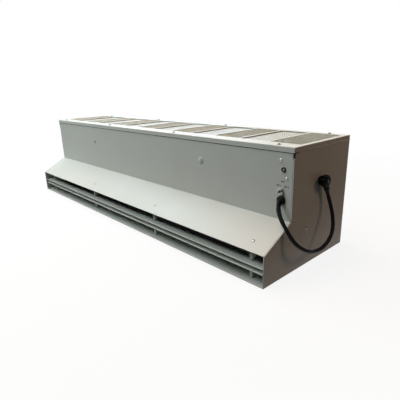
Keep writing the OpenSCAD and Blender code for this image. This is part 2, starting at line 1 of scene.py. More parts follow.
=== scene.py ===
# %% [markdown]
# # A long air curtain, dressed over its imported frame
#
# An air curtain is a sheet-metal box over a doorway. Fans draw room air in through the windows of its
# lid and blow it out of a long slot with two vanes. Here it lies on the side that goes to the wall.
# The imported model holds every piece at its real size. This file gives the pieces their surfaces, makes
# the fine meshes that the solids only hint at, and lights the whole like a plain product picture.
# All lengths are in metres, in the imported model's own frame.

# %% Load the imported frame
import json
import math

import bmesh
import bpy
from mathutils import Matrix, Vector


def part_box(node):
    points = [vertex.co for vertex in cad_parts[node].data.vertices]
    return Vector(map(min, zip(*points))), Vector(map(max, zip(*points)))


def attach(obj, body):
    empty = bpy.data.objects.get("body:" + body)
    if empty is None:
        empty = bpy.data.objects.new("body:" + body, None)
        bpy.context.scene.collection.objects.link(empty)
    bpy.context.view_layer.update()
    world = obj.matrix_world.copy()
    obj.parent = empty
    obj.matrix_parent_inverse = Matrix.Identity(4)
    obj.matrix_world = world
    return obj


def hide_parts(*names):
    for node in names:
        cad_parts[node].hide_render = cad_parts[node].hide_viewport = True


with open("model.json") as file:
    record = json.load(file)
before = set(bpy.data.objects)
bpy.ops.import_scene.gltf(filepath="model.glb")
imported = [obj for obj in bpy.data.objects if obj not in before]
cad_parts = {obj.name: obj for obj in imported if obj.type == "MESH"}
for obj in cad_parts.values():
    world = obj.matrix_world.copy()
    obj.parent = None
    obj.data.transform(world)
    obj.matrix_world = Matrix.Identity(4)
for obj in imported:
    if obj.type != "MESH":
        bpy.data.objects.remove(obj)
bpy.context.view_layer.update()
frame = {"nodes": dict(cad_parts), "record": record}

MM = 0.001
nodes = frame["nodes"]
scene = bpy.context.scene
print("packed nodes:", len(nodes))

# %% [markdown]
# ## Camera
#
# The picture was taken a little above the lid, from beyond the right end, with a slightly wide lens.
# The camera's place and turn come from fitting the casing's corners to the picture, so what is right in
# the frame is right in the image. Nothing is out of focus.

# %% Camera
CAMERA_PLACE = (1.0228, -0.7293, 0.4239)
CAMERA_TURN = (72.431, 1.676, 47.172)  # degrees about X, Y and Z
LENS = 32.92  # millimetres, on a 36 mm sensor


def placed(name, data):
    """An object that holds this data, linked into the scene."""
    made = bpy.data.objects.new(name, data)
    scene.collection.objects.link(made)
    return made


camera_data = bpy.data.cameras.new("camera")
camera_data.lens = LENS
camera_data.sensor_width = 36.0
camera_data.clip_start = 0.01
camera_data.clip_end = 50.0
camera = placed("camera", camera_data)
camera.location = CAMERA_PLACE
camera.rotation_euler = [math.radians(angle) for angle in CAMERA_TURN]
scene.camera = camera
print("camera at", CAMERA_PLACE)

# %% [markdown]
# ## Lead
#
# The mains lead is an 8.8 mm rubber-sheathed cord about a third of a metre long. It leaves the leaning
# neck of the gland, swings round the corner of the casing and rises into the angled plug. A Bezier
# spline with automatic handles runs smoothly through the points of its route. Its end handles keep it
# square to the gland and to the plug, and the bevel makes it round.

# %% Lead
LEAD_DIAMETER = 8.8 * MM
GLAND_LEAN = math.radians(30.8)  # how far the gland's neck leans from straight down
GLAND_TURN = math.radians(-55.2)  # which way it leans, about Z
PLUG_TURN = math.radians(25.7)  # the plug's outlet leans back from straight down
LEAD_POINTS = [  # millimetres
    (575.09, -88.88, 159.97), (583.8, -95.5, 144.2), (595.6, -98.7, 129.2), (606.9, -98, 113.7),
    (616, -93.4, 97.4), (623.9, -84.1, 82.5), (630.6, -70.6, 70.6), (634, -54.2, 61.1),
    (633.9, -36.3, 54), (634.6, -17.4, 50.3), (637, 1.5, 51.9), (639, 19, 59.7),
    (639.3, 33.9, 71.8), (636.7, 46.4, 86.2), (631.1, 55.7, 102.1), (624.6, 61, 119.5),
    (618.6, 62.2, 137.7), (614, 59.4, 156.1), (612, 52.51, 173.97),
]
lead_points = [Vector(point) * MM for point in LEAD_POINTS]
out_of_gland = Vector((
    math.sin(GLAND_LEAN) * math.cos(GLAND_TURN), math.sin(GLAND_LEAN) * math.sin(GLAND_TURN),
    -math.cos(GLAND_LEAN),
))
into_plug = Vector((0, -math.sin(PLUG_TURN), math.cos(PLUG_TURN)))


def lead_curve(points, start, finish):
    """A Bezier curve through the points that starts along one direction and ends along another."""
    data = bpy.data.curves.new("supply_lead_sheath", "CURVE")
    data.dimensions = "3D"
    data.resolution_u = 8
    spline = data.splines.new("BEZIER")
    spline.bezier_points.add(len(points) - 1)
    for knot, point in zip(spline.bezier_points, points):
        knot.co = point
        knot.handle_left_type = knot.handle_right_type = "AUTO"
    first, last = spline.bezier_points[0], spline.bezier_points[-1]
    for knot, direction, neighbour in ((first, start, points[1]), (last, finish, points[-2])):
        reach = (neighbour - knot.co).length / 3
        knot.handle_left_type = knot.handle_right_type = "FREE"
        knot.handle_left = knot.co - direction * reach
        knot.handle_right = knot.co + direction * reach
    return data


lead_data = lead_curve(lead_points, out_of_gland, into_plug)
lead_data.bevel_depth = LEAD_DIAMETER / 2
lead_data.bevel_resolution = 6
lead_data.use_fill_caps = True
lead = placed("supply_lead_sheath", lead_data)
print("lead length:", round(lead_data.splines[0].calc_length(), 4), "m")

# %% [markdown]
# ## How the pieces are put together
#
# One helper adds a shader or geometry node with its settings, and one turns a screen colour into the
# linear light that shaders use. Others make plain meshes of edited shapes, and link a mesh as a piece:
# it rides on its body, takes its slot's finish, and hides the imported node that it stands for.

# %% Helpers
CASING = "casing"


def fill(tree, node, inputs):
    """Fills a node's inputs with values or links. A node stands for its first output, and a list of
    nodes goes into an input that takes several."""
    for key, value in inputs.items():
        sources = value if isinstance(value, list) else [value]
        if isinstance(sources[0], (bpy.types.Node, bpy.types.NodeSocket)):
            for source in sources:
                output = source.outputs[0] if isinstance(source, bpy.types.Node) else source
                tree.links.new(output, node.inputs[key])
        else:
            node.inputs[key].default_value = value


def add(tree, kind, inputs=None, **settings):
    """Adds a node, sets its properties and fills its inputs."""
    node = tree.nodes.new(kind)
    for name, value in settings.items():
        setattr(node, name, value)
    fill(tree, node, inputs or {})
    return node


def linear(hex_colour):
    """A screen colour such as '#c8cbc4' as linear red, green, blue and alpha."""
    parts = [int(hex_colour[i:i + 2], 16) / 255 for i in (1, 3, 5)]
    return [p / 12.92 if p <= 0.04045 else ((p + 0.055) / 1.055) ** 2.4 for p in parts] + [1.0]


def piece(name, mesh, slot, material=None, body=CASING, stands_for=()):
    """Links a mesh as a piece of the object, on its body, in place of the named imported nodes."""
    made = placed(name, mesh)
    mesh.materials.clear()
    mesh.materials.append(material or FINISHES[slot])
    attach(made, body)
    if stands_for:
        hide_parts(*stands_for)
    return made


def baked(source):
    """The source's mesh with its modifiers worked in. The source is removed."""
    bpy.context.view_layer.update()
    evaluated = source.evaluated_get(bpy.context.evaluated_depsgraph_get())
    mesh = bpy.data.meshes.new_from_object(evaluated)
    bpy.data.objects.remove(source)
    return mesh


def finished(name, shape):
    """The plain mesh of a shape that was edited. The editing copy is freed."""
    mesh = bpy.data.meshes.new(name)
    shape.to_mesh(mesh)
    shape.free()
    return mesh


def plain_mesh(name, points, faces):
    """A mesh from a list of points and a list of faces."""
    mesh = bpy.data.meshes.new(name)
    mesh.from_pydata(points, [], faces)
    return mesh


def joined(name, meshes):
    """One mesh that holds several."""
    shape = bmesh.new()
    for mesh in meshes:
        shape.from_mesh(mesh)
    return finished(name, shape)


# %% [markdown]
# ## Casing paint
#
# The casing is steel with a light grey powder coat. Powder melts into a skin with a faint orange peel,
# so its gloss is soft and slightly uneven. The colour drifts a little over the length of a hand, which
# keeps a large plain panel from looking like paper. The waves of the peel are 2 mm long. Real ones are
# finer and wouldn't show.

# %% Casing paint
PAINT = "#d3d5ce"
PAINT_DUSTY = "#cacbc1"
PEEL_WAVE = 2.0 * MM
DRIFT_WAVE = 120 * MM


def empty_tree(owner):
    """The node tree of a material or a world, cleared."""
    owner.use_nodes = True
    owner.node_tree.nodes.clear()
    return owner.node_tree


def new_material(name):
    """A material, its tree, its shader node and the place on the object that patterns start from."""
    material = bpy.data.materials.new(name)
    tree = empty_tree(material)
    shader = add(tree, "ShaderNodeBsdfPrincipled")
    add(tree, "ShaderNodeOutputMaterial", {"Surface": shader})
    return material, tree, shader, add(tree, "ShaderNodeTexCoord").outputs["Object"]


def powder_coat(name, clean, dusty, roughness):
    """Powder-coated steel: soft gloss, a faint orange peel and a slow drift of colour."""
    material, tree, shader, place = new_material(name)
    drift = add(tree, "ShaderNodeTexNoise", {"Vector": place, "Scale": 1 / DRIFT_WAVE, "Detail": 4.0})
    peel = add(tree, "ShaderNodeTexNoise", {"Vector": place, "Scale": 1 / PEEL_WAVE, "Detail": 2.0})
    # a mix node's inputs 6 and 7 and its output 2 are those for colours
    colour = add(tree, "ShaderNodeMix", {
        "Factor": drift, 6: linear(clean), 7: linear(dusty)}, data_type="RGBA")
    gloss = add(tree, "ShaderNodeMapRange", {
        "Value": drift, "To Min": roughness - 0.04, "To Max": roughness + 0.06})
    bump = add(tree, "ShaderNodeBump", {"Height": peel, "Strength": 0.12, "Distance": 0.1 * MM})
    fill(tree, shader, {
        "Base Color": colour.outputs[2], "Roughness": gloss, "Normal": bump, "Specular IOR Level": 0.4,
    })
    return material


casing_paint = powder_coat("powder_coated_steel", PAINT, PAINT_DUSTY, 0.42)
print("paint:", casing_paint.name)

# %% [markdown]
# ## Metals and plastics inside and on the panels
#
# Galvanised sheet shows its zinc crystals, the spangle, as patches about a centimetre across that each
# reflect a little differently. A Voronoi pattern has just such patches. Motor paint, rubber, nylon and
# the button's plastic differ in gloss more than in colour, so each gets its own roughness and a grain
# of its own size. The real grains are finer and wouldn't show.

# %% Metals and plastics
SPANGLE = 9 * MM


def galvanised(name, dark, light):
    """Hot-dip galvanised sheet, with a spangle of crystals that differ in tone and gloss."""
    material, tree, shader, place = new_material(name)
    crystals = add(tree, "ShaderNodeTexVoronoi", {"Vector": place, "Scale": 1 / SPANGLE})
    tone = add(tree, "ShaderNodeSeparateColor", {"Color": crystals.outputs["Color"]})
    colour = add(tree, "ShaderNodeMix", {
        "Factor": tone, 6: linear(dark), 7: linear(light)}, data_type="RGBA")
    gloss = add(tree, "ShaderNodeMapRange", {
        "Value": tone.outputs["Green"], "To Min": 0.38, "To Max": 0.56})
    fill(tree, shader, {"Base Color": colour.outputs[2], "Metallic": 1.0, "Roughness": gloss})
    return material


def grained(name, colour, roughness, grain, depth, metallic=0.0, stretch=(1, 1, 1), specular=0.5):
    """A plain material whose surface has a grain of one size, drawn out along an axis if stretched."""
    material, tree, shader, place = new_material(name)
    scaled = add(tree, "ShaderNodeMapping", {"Vector": place, "Scale": stretch})
    noise = add(tree, "ShaderNodeTexNoise", {"Vector": scaled, "Scale": 1 / grain, "Detail": 3.0})
    bump = add(tree, "ShaderNodeBump", {"Height": noise, "Strength": 0.3, "Distance": depth})
    gloss = add(tree, "ShaderNodeMapRange", {
        "Value": noise, "To Min": roughness - 0.06, "To Max": roughness + 0.06})
    fill(tree, shader, {
        "Base Color": linear(colour), "Metallic": metallic, "Roughness": gloss, "Normal": bump,
        "Specular IOR Level": specular,
    })
    return material


FINISHES = {
    "casing_paint": casing_paint,
    # painted wire: pale and matt, and it looks dark because of what shows between the wires
    "dark_mesh": grained("grey_painted_wire", "#dde4da", 0.55, 1.5 * MM, 0.05 * MM),
    # galvanised sheet: a patchwork of lighter and darker crystals
    "zinc_sheet": galvanised("galvanised_steel", "#8f9494", "#b4b9ba"),
    # nickel plate: small bright reflections
    "bright_steel": grained("nickel_plated_steel", "#a9a9a6", 0.24, 3 * MM, 0.02 * MM, metallic=1.0),
    # rolled aluminium: soft reflections with a grain drawn out along the length
    "impeller_metal": grained("rolled_aluminium", "#c3c6c8", 0.42, 1.5 * MM, 0.03 * MM, 1.0, (0.1, 1, 1)),
    # sprayed enamel: dark, with a satin gleam
    "motor_paint": grained("motor_enamel", "#2b2d2f", 0.38, 2 * MM, 0.05 * MM),
    # moulded rubber: black, and dull all over
    "black_rubber": grained("black_rubber", "#131314", 0.75, 1 * MM, 0.05 * MM, specular=0.2),
    # moulded plastic shell: pale, with a clear highlight
    "capacitor_case": grained("capacitor_shell", "#d9d8d3", 0.3, 4 * MM, 0.02 * MM),
    # moulded nylon with glass fibres: black, with a faint blurred highlight
    "black_moulding": grained("black_glass_filled_nylon", "#070707", 0.5, 0.8 * MM, 0.05 * MM, specular=0.14),
    # extruded rubber: black, with a faint highlight along the cord
    "lead_sheath": grained("rubber_cord_sheath", "#08080b", 0.5, 1.2 * MM, 0.03 * MM, specular=0.18),
    # moulded plastic: nearly white, with a clear highlight
    "button_cap": grained("white_button_plastic", "#f2f1ea", 0.32, 2 * MM, 0.02 * MM),
}
for part in frame["record"]["subparts"]:
    packed = nodes[part["node"]].data
    packed.materials.clear()
    packed.materials.append(FINISHES[part["material_slot"]])
OWN_FINISHES = {
    # dulled zinc plate: darker and softer than nickel
    "lid_screws": grained("zinc_plated_steel", "#5c5d59", 0.4, 2 * MM, 0.02 * MM, metallic=1.0),
    # moulded plastic: close to the paint in colour, and smoother
    "blanking_plugs": grained("pale_plug_plastic", "#c0c4be", 0.3, 3 * MM, 0.02 * MM),
    # grey enamel darkened as painted shade: its dim, even grey stands for the dark deep inside the outlet
    "fan_deck": grained("deck_painted_shade_grey", "#6d706f", 0.45, 2 * MM, 0.04 * MM),
}
for node, material in OWN_FINISHES.items():
    nodes[node].data.materials[0] = material
print("finishes:", len(FINISHES) + len(OWN_FINISHES))

# %% [markdown]
# ## Folded sheets
#
# A press brake bends sheet over a blunt tool, so a fold has a radius of about the sheet's thickness and
# catches the light as a thin soft line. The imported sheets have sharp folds. In a copy of each, the
# triangles are joined to flat faces and the long edges between two broad faces are rounded. The flat
# end panels and the toggle's nut only lose their sharp rims.

# %% Round the folds
# rounding, and the least length and face width of an edge that gets it
SHEET_FOLDS = (1.5 * MM, 8 * MM, 2.5 * MM)
PANEL_RIMS = (0.35 * MM, 4 * MM, 1.2 * MM)
NUT_RIMS = (0.35 * MM, 1 * MM, 1 * MM)
MERGE = 0.002 * MM
FLAT = math.radians(0.5)  # faces that turn by less are one flat face
FOLDED = math.radians(20)  # edges that turn by more are folds


def merged(node):
    """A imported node's mesh for editing, with its points merged and its flat areas joined."""
    shape = bmesh.new()
    shape.from_mesh(nodes[node].data)
    bmesh.ops.remove_doubles(shape, verts=shape.verts, dist=MERGE)
    bmesh.ops.dissolve_limit(shape, angle_limit=FLAT, verts=shape.verts, edges=shape.edges)
    for face in shape.faces:
        face.smooth = False
    return shape


def softened(node, size, least_length, least_width):
    """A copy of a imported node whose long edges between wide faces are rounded."""
    shape = merged(node)
    chosen = []
    for edge in shape.edges:
        length = edge.calc_length()
        if length < least_length or not edge.is_manifold:
            continue
        width = min(face.calc_area() for face in edge.link_faces) / length
        if width > least_width and edge.calc_face_angle() > FOLDED:
            chosen.append(edge)
    made = bmesh.ops.bevel(
        shape, geom=chosen, offset=size, offset_type="OFFSET", segments=3, profile=0.5, affect="EDGES")
    for face in made["faces"]:
        longest = max(edge.calc_length() for edge in face.edges)
        face.smooth = face.calc_area() / longest < size
    print(node, "rounded edges:", len(chosen))
    return finished(node + "_rounded", shape)


for node in ("front_cover", "base_plate", "rear_panel", "lid"):
    piece(node + "_sheet", softened(node, *SHEET_FOLDS), "casing_paint", stands_for=[node])
for node in ("left_end_panel", "right_end_panel"):
    piece(node + "_sheet", softened(node, *PANEL_RIMS), "casing_paint", stands_for=[node])
hex_nut = softened("toggle_nut", *NUT_RIMS)
piece("toggle_hex_nut", hex_nut, "bright_steel", stands_for=["toggle_nut"])

# %% [markdown]
# ## Painted shadow under the lid
#
# A black strip under the lid's front flange is painted shadow: it fills the step there and stands for
# the dark gap beneath it. At each top corner a black block fills the slit between the front and the end
# panel, and a lip runs on round the corner, as painted shadow too. It shows as a thin dark line that
# ends in a short notch.

# %% Painted shadow under the lid
SHADOW_STRIP_HEIGHT = 1.6 * MM
SHADOW_STRIP_PROUD = 0.5 * MM
CORNER_HEIGHT = 11 * MM
CORNER_LIP = 13 * MM


def box_mesh(name, low, high):
    """A closed box between two corners, with slightly rounded edges."""
    shape = bmesh.new()
    bmesh.ops.create_cube(shape, size=1.0)
    for point in shape.verts:
        point.co = [a + (b - a) * (c + 0.5) for a, b, c in zip(low, high, point.co)]
    rounding = 0.2 * min(b - a for a, b in zip(low, high))
    bmesh.ops.bevel(shape, geom=shape.edges[:], offset=rounding, segments=2, profile=0.5, affect="EDGES")
    return finished(name, shape)


cover_low, cover_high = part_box("front_cover")
lid_low, lid_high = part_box("lid")
front_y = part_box("toggle_nut")[1].y
# black blocks painted as the shadow in the gap under the lid's flange and in the corner slits
blocks = [box_mesh("lid_seal", (cover_low.x, front_y - SHADOW_STRIP_PROUD, lid_low.z - SHADOW_STRIP_HEIGHT),
                   (cover_high.x, front_y, lid_low.z))]
end_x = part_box("right_end_panel")[1].x
for side in (-1, 1):
    for inner, outer, depth, height in (
        (cover_high.x + 0.2 * MM, end_x + SHADOW_STRIP_PROUD, 3 * MM, CORNER_HEIGHT),
        (end_x - 0.5 * MM, end_x + 1.2 * MM, CORNER_LIP, SHADOW_STRIP_HEIGHT),
    ):
        near, far = sorted((side * inner, side * outer))
        blocks.append(box_mesh("painted_shadow_corner", (near, front_y - SHADOW_STRIP_PROUD, lid_low.z - height),
                               (far, front_y + depth, lid_low.z)))
piece("lid_seal", joined("lid_seal", blocks), "black_rubber")
print("front face at y", round(front_y, 4))

# %% [markdown]
# ## Round pieces
#
# One function turns an outline about an axis, and can press grooves into the rim, as on a plug's grip.
# Another sweeps a round section along a path, with a radius for each point. It carries the section's
# frame from point to point, so the bar does not twist.

# %% Turned and swept shapes
SHARP = math.radians(35)  # edges that turn by more stay sharp


def bridge(shape, this, after, smooth=False):
    """Joins two rings of points with a band of faces. A point that a face meets twice counts once."""
    for i in range(len(this)):
        j = (i + 1) % len(this)
        corners = list(dict.fromkeys((this[i], this[j], after[j], after[i])))
        if len(corners) > 2:
            shape.faces.new(corners).smooth = smooth


def turned(name, outline, place, axis, segments=48, grooves=0, depth=0.0):
    """A shape turned from (radius, height) points. Grooves bite into points at the full radius."""
    full = max(radius for radius, height in outline)
    shape = bmesh.new()
    rings = []
    for radius, height in outline:
        if radius == 0:
            rings.append([shape.verts.new((0, 0, height))] * segments)
            continue
        ring = []
        for i in range(segments):
            angle = math.tau * i / segments
            bite = (0.5 + 0.5 * math.cos(grooves * angle)) ** 4 * depth if grooves else 0.0
            reach = radius - bite * (radius / full) ** 3
            ring.append(shape.verts.new((reach * math.cos(angle), reach * math.sin(angle), height)))
        rings.append(ring)
    closed = outline[0][0] != 0
    for this, after in zip(rings, rings[1:] + (rings[:1] if closed else [])):
        bridge(shape, this, after, smooth=True)
    bmesh.ops.recalc_face_normals(shape, faces=shape.faces)
    for edge in shape.edges:
        edge.smooth = not edge.is_manifold or edge.calc_face_angle() < SHARP
    mesh = finished(name, shape)
    mesh.transform(Matrix.Translation(place) @ axis.to_track_quat("Z", "Y").to_matrix().to_4x4())
    return mesh


def swept(name, path, radii, sides=24):
    """A closed round bar along a path of points, with its own radius at each."""
    shape = bmesh.new()
    side = None
    rings = []
    for i, (point, radius) in enumerate(zip(path, radii)):
        along = (path[min(i + 1, len(path) - 1)] - path[max(i - 1, 0)]).normalized()
        side = along.orthogonal() if side is None else side - side.dot(along) * along
        side.normalize()
        up = along.cross(side)
        rings.append([
            shape.verts.new(point + radius * (math.cos(a) * side + math.sin(a) * up))
            for a in (math.tau * k / sides for k in range(sides))
        ])
    for this, after in zip(rings, rings[1:]):
        bridge(shape, this, after, smooth=True)
    shape.faces.new(list(reversed(rings[0])))
    shape.faces.new(rings[-1])
    bmesh.ops.recalc_face_normals(shape, faces=shape.faces)
    return finished(name, shape)


# %% [markdown]
# ## Tools for Geometry Nodes
#
# What repeats is laid out by Geometry Nodes trees with their sizes as named inputs. These helpers start
# a tree, lay out a row of points in it, and close it. Two more turn its result into a mesh, and hold a
# shape to copy.

# %% Tree helpers
def new_tree(name, inputs):
    """A Geometry Nodes tree with named inputs and one geometry output."""
    tree = bpy.data.node_groups.new(name, "GeometryNodeTree")
    tree.interface.new_socket("Geometry", in_out="OUTPUT", socket_type="NodeSocketGeometry")
    for label, kind in inputs:
        tree.interface.new_socket(label, in_out="INPUT", socket_type="NodeSocket" + kind)
    return tree, add(tree, "NodeGroupInput").outputs


def centred_line(tree, count, step, along="X", height=0.0):
    """Points in a row along one axis, evenly spread about the middle."""
    gaps = add(tree, "ShaderNodeMath", {0: count, 1: 1.0}, operation="SUBTRACT")
    span = add(tree, "ShaderNodeMath", {0: gaps, 1: step}, operation="MULTIPLY")
    start = add(tree, "ShaderNodeMath", {0: span, 1: -0.5}, operation="MULTIPLY")
    first = add(tree, "ShaderNodeCombineXYZ", {along: start, "Z": height})
    offset = add(tree, "ShaderNodeCombineXYZ", {along: step})
    return add(tree, "GeometryNodeMeshLine", {"Count": count, "Start Location": first, "Offset": offset})


def closed_tree(tree, geometry, finish):
    """The tree, with its copies made real, given their material and handed out."""
    real = add(tree, "GeometryNodeRealizeInstances", {"Geometry": geometry})
    done = add(tree, "GeometryNodeSetMaterial", {"Geometry": real, "Material": finish})
    add(tree, "NodeGroupOutput", {"Geometry": done})
    return tree


def grown(name, tree, values):
    """The mesh that a tree makes with these named inputs. The objects that it copied are removed."""
    host = placed(name, bpy.data.meshes.new(name))
    modifier = host.modifiers.new("tree", "NODES")
    modifier.node_group = tree
    sockets = {item.name: item.identifier for item in tree.interface.items_tree if item.in_out == "INPUT"}
    for label, value in values.items():
        modifier[sockets[label]] = value
    mesh = baked(host)
    for value in values.values():
        if isinstance(value, bpy.types.Object):
            bpy.data.objects.remove(value)
    return mesh


def tool(name, mesh):
    """A hidden object that a tree copies, or that a modifier works on or cuts with."""
    made = placed(name, mesh)
    made.hide_render = True
    return made


# %% [markdown]
# ## Hems of the lid
#
# The edges of the lid's two end flanges are folded back on themselves, which stiffens them and hides
# the raw cut. The round of the fold stands a little proud and shows as a thin light line.

# %% Hems
HEM_RADIUS = 0.9 * MM
hems = []
for side in (-1, 1):
    path = [Vector((side * (lid_high.x - 0.2 * MM), y, lid_low.z + HEM_RADIUS))
            for y in (front_y + CORNER_LIP, 0, lid_high.y)]
    hems.append(swept("lid_hem", path, [HEM_RADIUS] * len(path), sides=16))
piece("lid_hems", joined("lid_hems", hems), "casing_paint")
print("hems:", len(hems))

# %% [markdown]
# ## Outlet posts
#
# Four posts cross the outlet and carry the rods of the two vanes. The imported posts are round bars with
# a block under the hood. The real ones are square in the foot, and pass through notches in the vanes. A
# Geometry Nodes tree sets one square foot at each post, clear of the vanes' swing.

# %% The tree for a row of copies
def row_tree():
    """Copies of one shape in a row along X, centred on the middle."""
    tree, given = new_tree("row_of_copies", [
        ("Shape", "Object"), ("Copies", "Int"), ("Step", "Float"), ("Finish", "Material"),
    ])
    row = centred_line(tree, given["Copies"], given["Step"])
    shape = add(tree, "GeometryNodeObjectInfo", {"Object": given["Shape"]}).outputs["Geometry"]
    copies = add(tree, "GeometryNodeInstanceOnPoints", {"Points": row, "Instance": shape})
    return closed_tree(tree, copies, given["Finish"])


# %% Post feet
POSTS = 4
FOOT_HALF_WIDTH = 4.3 * MM
FOOT_FRONT = 3.5 * MM
FOOT_REAR = 4.5 * MM
FOOT_TOP = 60 * MM
POST_RADIUS = 3 * MM
HEAD_WIDTH = 10 * MM
posts_low, posts_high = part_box("vane_posts")
post_step = (posts_high.x - posts_low.x - HEAD_WIDTH) / (POSTS - 1)
post_y = posts_low.y + POST_RADIUS
foot_mesh = box_mesh("foot", (-FOOT_HALF_WIDTH, post_y - FOOT_FRONT, posts_low.z),
                     (FOOT_HALF_WIDTH, post_y + FOOT_REAR, FOOT_TOP))
feet = grown("post_feet", row_tree(), {
    "Shape": tool("foot", foot_mesh), "Copies": POSTS, "Step": post_step, "Finish": casing_paint,
})
piece("post_feet", feet, "casing_paint")
print("post step:", round(post_step, 4))

# %% [markdown]
# ## Vanes
#
# Each vane is an aluminium extrusion: a thin blade that swells to take its pivot rod, with a round bead
# along the front edge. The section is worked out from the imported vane's box and drawn along the outlet.
# A Boolean modifier cuts the notches in which the vane swings past the posts.

# %% Vane section
BEAD_RADIUS = 1.5 * MM
REAR_STEPS, FRONT_STEPS, BEAD_STEPS = 5, 10, 6
EDGE_HALF = 0.75 * MM
NOTCH_HALF_WIDTH = 5 * MM
NOTCH_DEPTH = 5 * MM  # in front of the pivot


def shares(count):
    """Evenly spaced numbers from 0 up to 1, without the 1."""
    return [i / count for i in range(count)]


def vane_section(front, rear, swell):
    """The upper half of a blade's outline, from its rear edge over the pivot and round the bead."""
    quarter = math.tau / 4
    points = []
    for t in shares(REAR_STEPS):
        points.append((rear * (1 - t), EDGE_HALF + (swell - EDGE_HALF) * math.sin(t * quarter)))
    for t in shares(FRONT_STEPS):
        rise = math.sin(t * quarter) ** 2
        points.append(((front + BEAD_RADIUS) * t, swell + (BEAD_RADIUS - swell) * rise))
    for t in shares(BEAD_STEPS):
        angle = (1 + t) * quarter
        points.append((front + BEAD_RADIUS * (1 + math.cos(angle)), BEAD_RADIUS * math.sin(angle)))
    return points + [(front, 0)]


def vane_mesh(node):
    """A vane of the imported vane's size, round the same pivot, with its notches cut."""
    low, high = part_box(node)
    pivot_z = (low.z + high.z) / 2
    upper = vane_section(low.y - post_y, high.y - post_y, (high.z - low.z) / 2)
    outline = upper + [(y, -z) for y, z in reversed(upper[:-1])]
    shape = bmesh.new()
    ends = [[shape.verts.new((x, post_y + y, pivot_z + z)) for y, z in outline] for x in (low.x, high.x)]
    bridge(shape, *ends)
    shape.faces.new(ends[0])
    shape.faces.new(list(reversed(ends[1])))
    bmesh.ops.recalc_face_normals(shape, faces=shape.faces)
    host = tool(node + "_host", finished(node + "_blade", shape))
    cuts = joined("notches", [
        box_mesh("notch", (x - NOTCH_HALF_WIDTH, post_y - NOTCH_DEPTH, low.z - 1 * MM),
                 (x + NOTCH_HALF_WIDTH, high.y + 1 * MM, high.z + 1 * MM))
        for x in ((i - (POSTS - 1) / 2) * post_step for i in range(POSTS))
    ])
    cutter = tool("notches", cuts)
    notch = host.modifiers.new("notches", "BOOLEAN")
    notch.operation = "DIFFERENCE"
    notch.object = cutter
    mesh = baked(host)
    bpy.data.objects.remove(cutter)
    for face in mesh.polygons:
        face.use_smooth = abs(face.normal.x) < 0.5
    mesh.set_sharp_from_angle(angle=SHARP)
    return mesh


for node in ("upper_vane", "lower_vane"):
    blade = vane_mesh(node)
    piece(node + "_blade", blade, "casing_paint", body=node, stands_for=[node])
    print(node, len(blade.polygons), "faces")

# %% [markdown]
# ## Toggle switch
#
# A nut on a plated bush with a fine thread pulls the switch tight against the panel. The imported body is
# one black moulding, so a thin plated skin, thread and all, goes over its bush.

# %% Toggle bush
THREAD_STEP = 0.75 * MM
THREAD_ROOT = 6.03 * MM
THREAD_CREST = 6.25 * MM
BUSH_BORE = 3.75 * MM
BUSH_LIP = 0.03 * MM
OUT = Vector((0, -1, 0))


def on_front(node):
    """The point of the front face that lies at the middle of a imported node."""
    low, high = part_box(node)
    return Vector(((low.x + high.x) / 2, front_y, (low.z + high.z) / 2))


bush_length = front_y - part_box("toggle_body")[0].y
outline = [(BUSH_BORE, 0), (THREAD_ROOT, 0)]
for turn in range(int(bush_length / THREAD_STEP)):
    outline.append((THREAD_CREST, (turn + 0.4) * THREAD_STEP))
    outline.append((THREAD_ROOT, (turn + 0.9) * THREAD_STEP))
outline += [(5.7 * MM, bush_length + BUSH_LIP), (BUSH_BORE, bush_length + BUSH_LIP)]
piece("toggle_bush", turned("toggle_bush", outline, on_front("toggle_nut"), OUT), "bright_steel")
print("bush length:", round(bush_length, 4))

# %% [markdown]
# ## Reset button
#
# Beside the toggle sits the motors' thermal cut-out. A thick black collar guards its white button,
# whose crown is domed and lies 3 mm down the bore, so that it isn't pressed by mistake.

# %% Collar and button
DOME = [(1.0, 0.5), (0.9, 1.1), (0.6, 1.5), (0.0, 1.7)]  # share of the radius, and millimetres up
collar_low, collar_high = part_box("cutout_collar")
button_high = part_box("reset_button")[1]
collar_place = on_front("cutout_collar")
collar_radius = collar_high.z - collar_place.z
collar_length = front_y - collar_low.y
button_radius = button_high.z - collar_place.z
bore = button_radius + 0.3 * MM
collar = turned("cutout_ring", [
    (bore, 0), (collar_radius, 0), (collar_radius, collar_length - 0.6 * MM),
    (collar_radius - 0.5 * MM, collar_length), (bore + 0.3 * MM, collar_length),
    (bore, collar_length - 0.3 * MM),
], collar_place, OUT)
piece("cutout_ring", collar, "black_moulding", stands_for=["cutout_collar"])
foot = front_y - button_high.y
dome = [(button_radius * share, height * MM) for share, height in DOME]
button = turned("reset_button_cap", [(0, foot), (button_radius, foot)] + dome, collar_place, OUT)
piece("reset_button_cap", button, "button_cap", body="reset_button", stands_for=["reset_button"])
print("collar radius:", round(collar_radius, 4), "button radius:", round(button_radius, 4))

# %% [markdown]
# ## Switch marks
#
# Three printed marks show the switch's positions. They are plain words that any such switch could
# carry: on at the first speed, off, and on at the second.

# %% Switch marks
MARK_HEIGHT = 3.0 * MM
MARKS = [("ON 1", 563.0, 205.3), ("OFF", 573.0, 215.0), ("ON 2", 583.2, 204.6)]  # X and Z in millimetres
CAPITALS = 0.7  # a capital's share of the font's size


def printed(words, x, z):
    """Words printed on the front face, as a thin raised mesh."""
    curve = bpy.data.curves.new("mark", "FONT")
    curve.body = words
    curve.size = MARK_HEIGHT / CAPITALS
    curve.align_x = curve.align_y = "CENTER"
    curve.extrude = 0.03 * MM
    curve.offset = 0.3 * MM
    curve.space_character = 1.25
    mesh = baked(placed("mark", curve))
    mesh.transform(Matrix.Translation((x * MM, front_y, z * MM)) @ Matrix.Rotation(math.tau / 4, 4, "X"))
    return mesh


marks = [printed(*mark) for mark in MARKS]
ink = grained("screen_printing_ink", "#141614", 0.6, 1 * MM, 0.01 * MM)
piece("switch_marks", joined("switch_marks", marks), "black_moulding", material=ink)
print("marks:", len(marks))

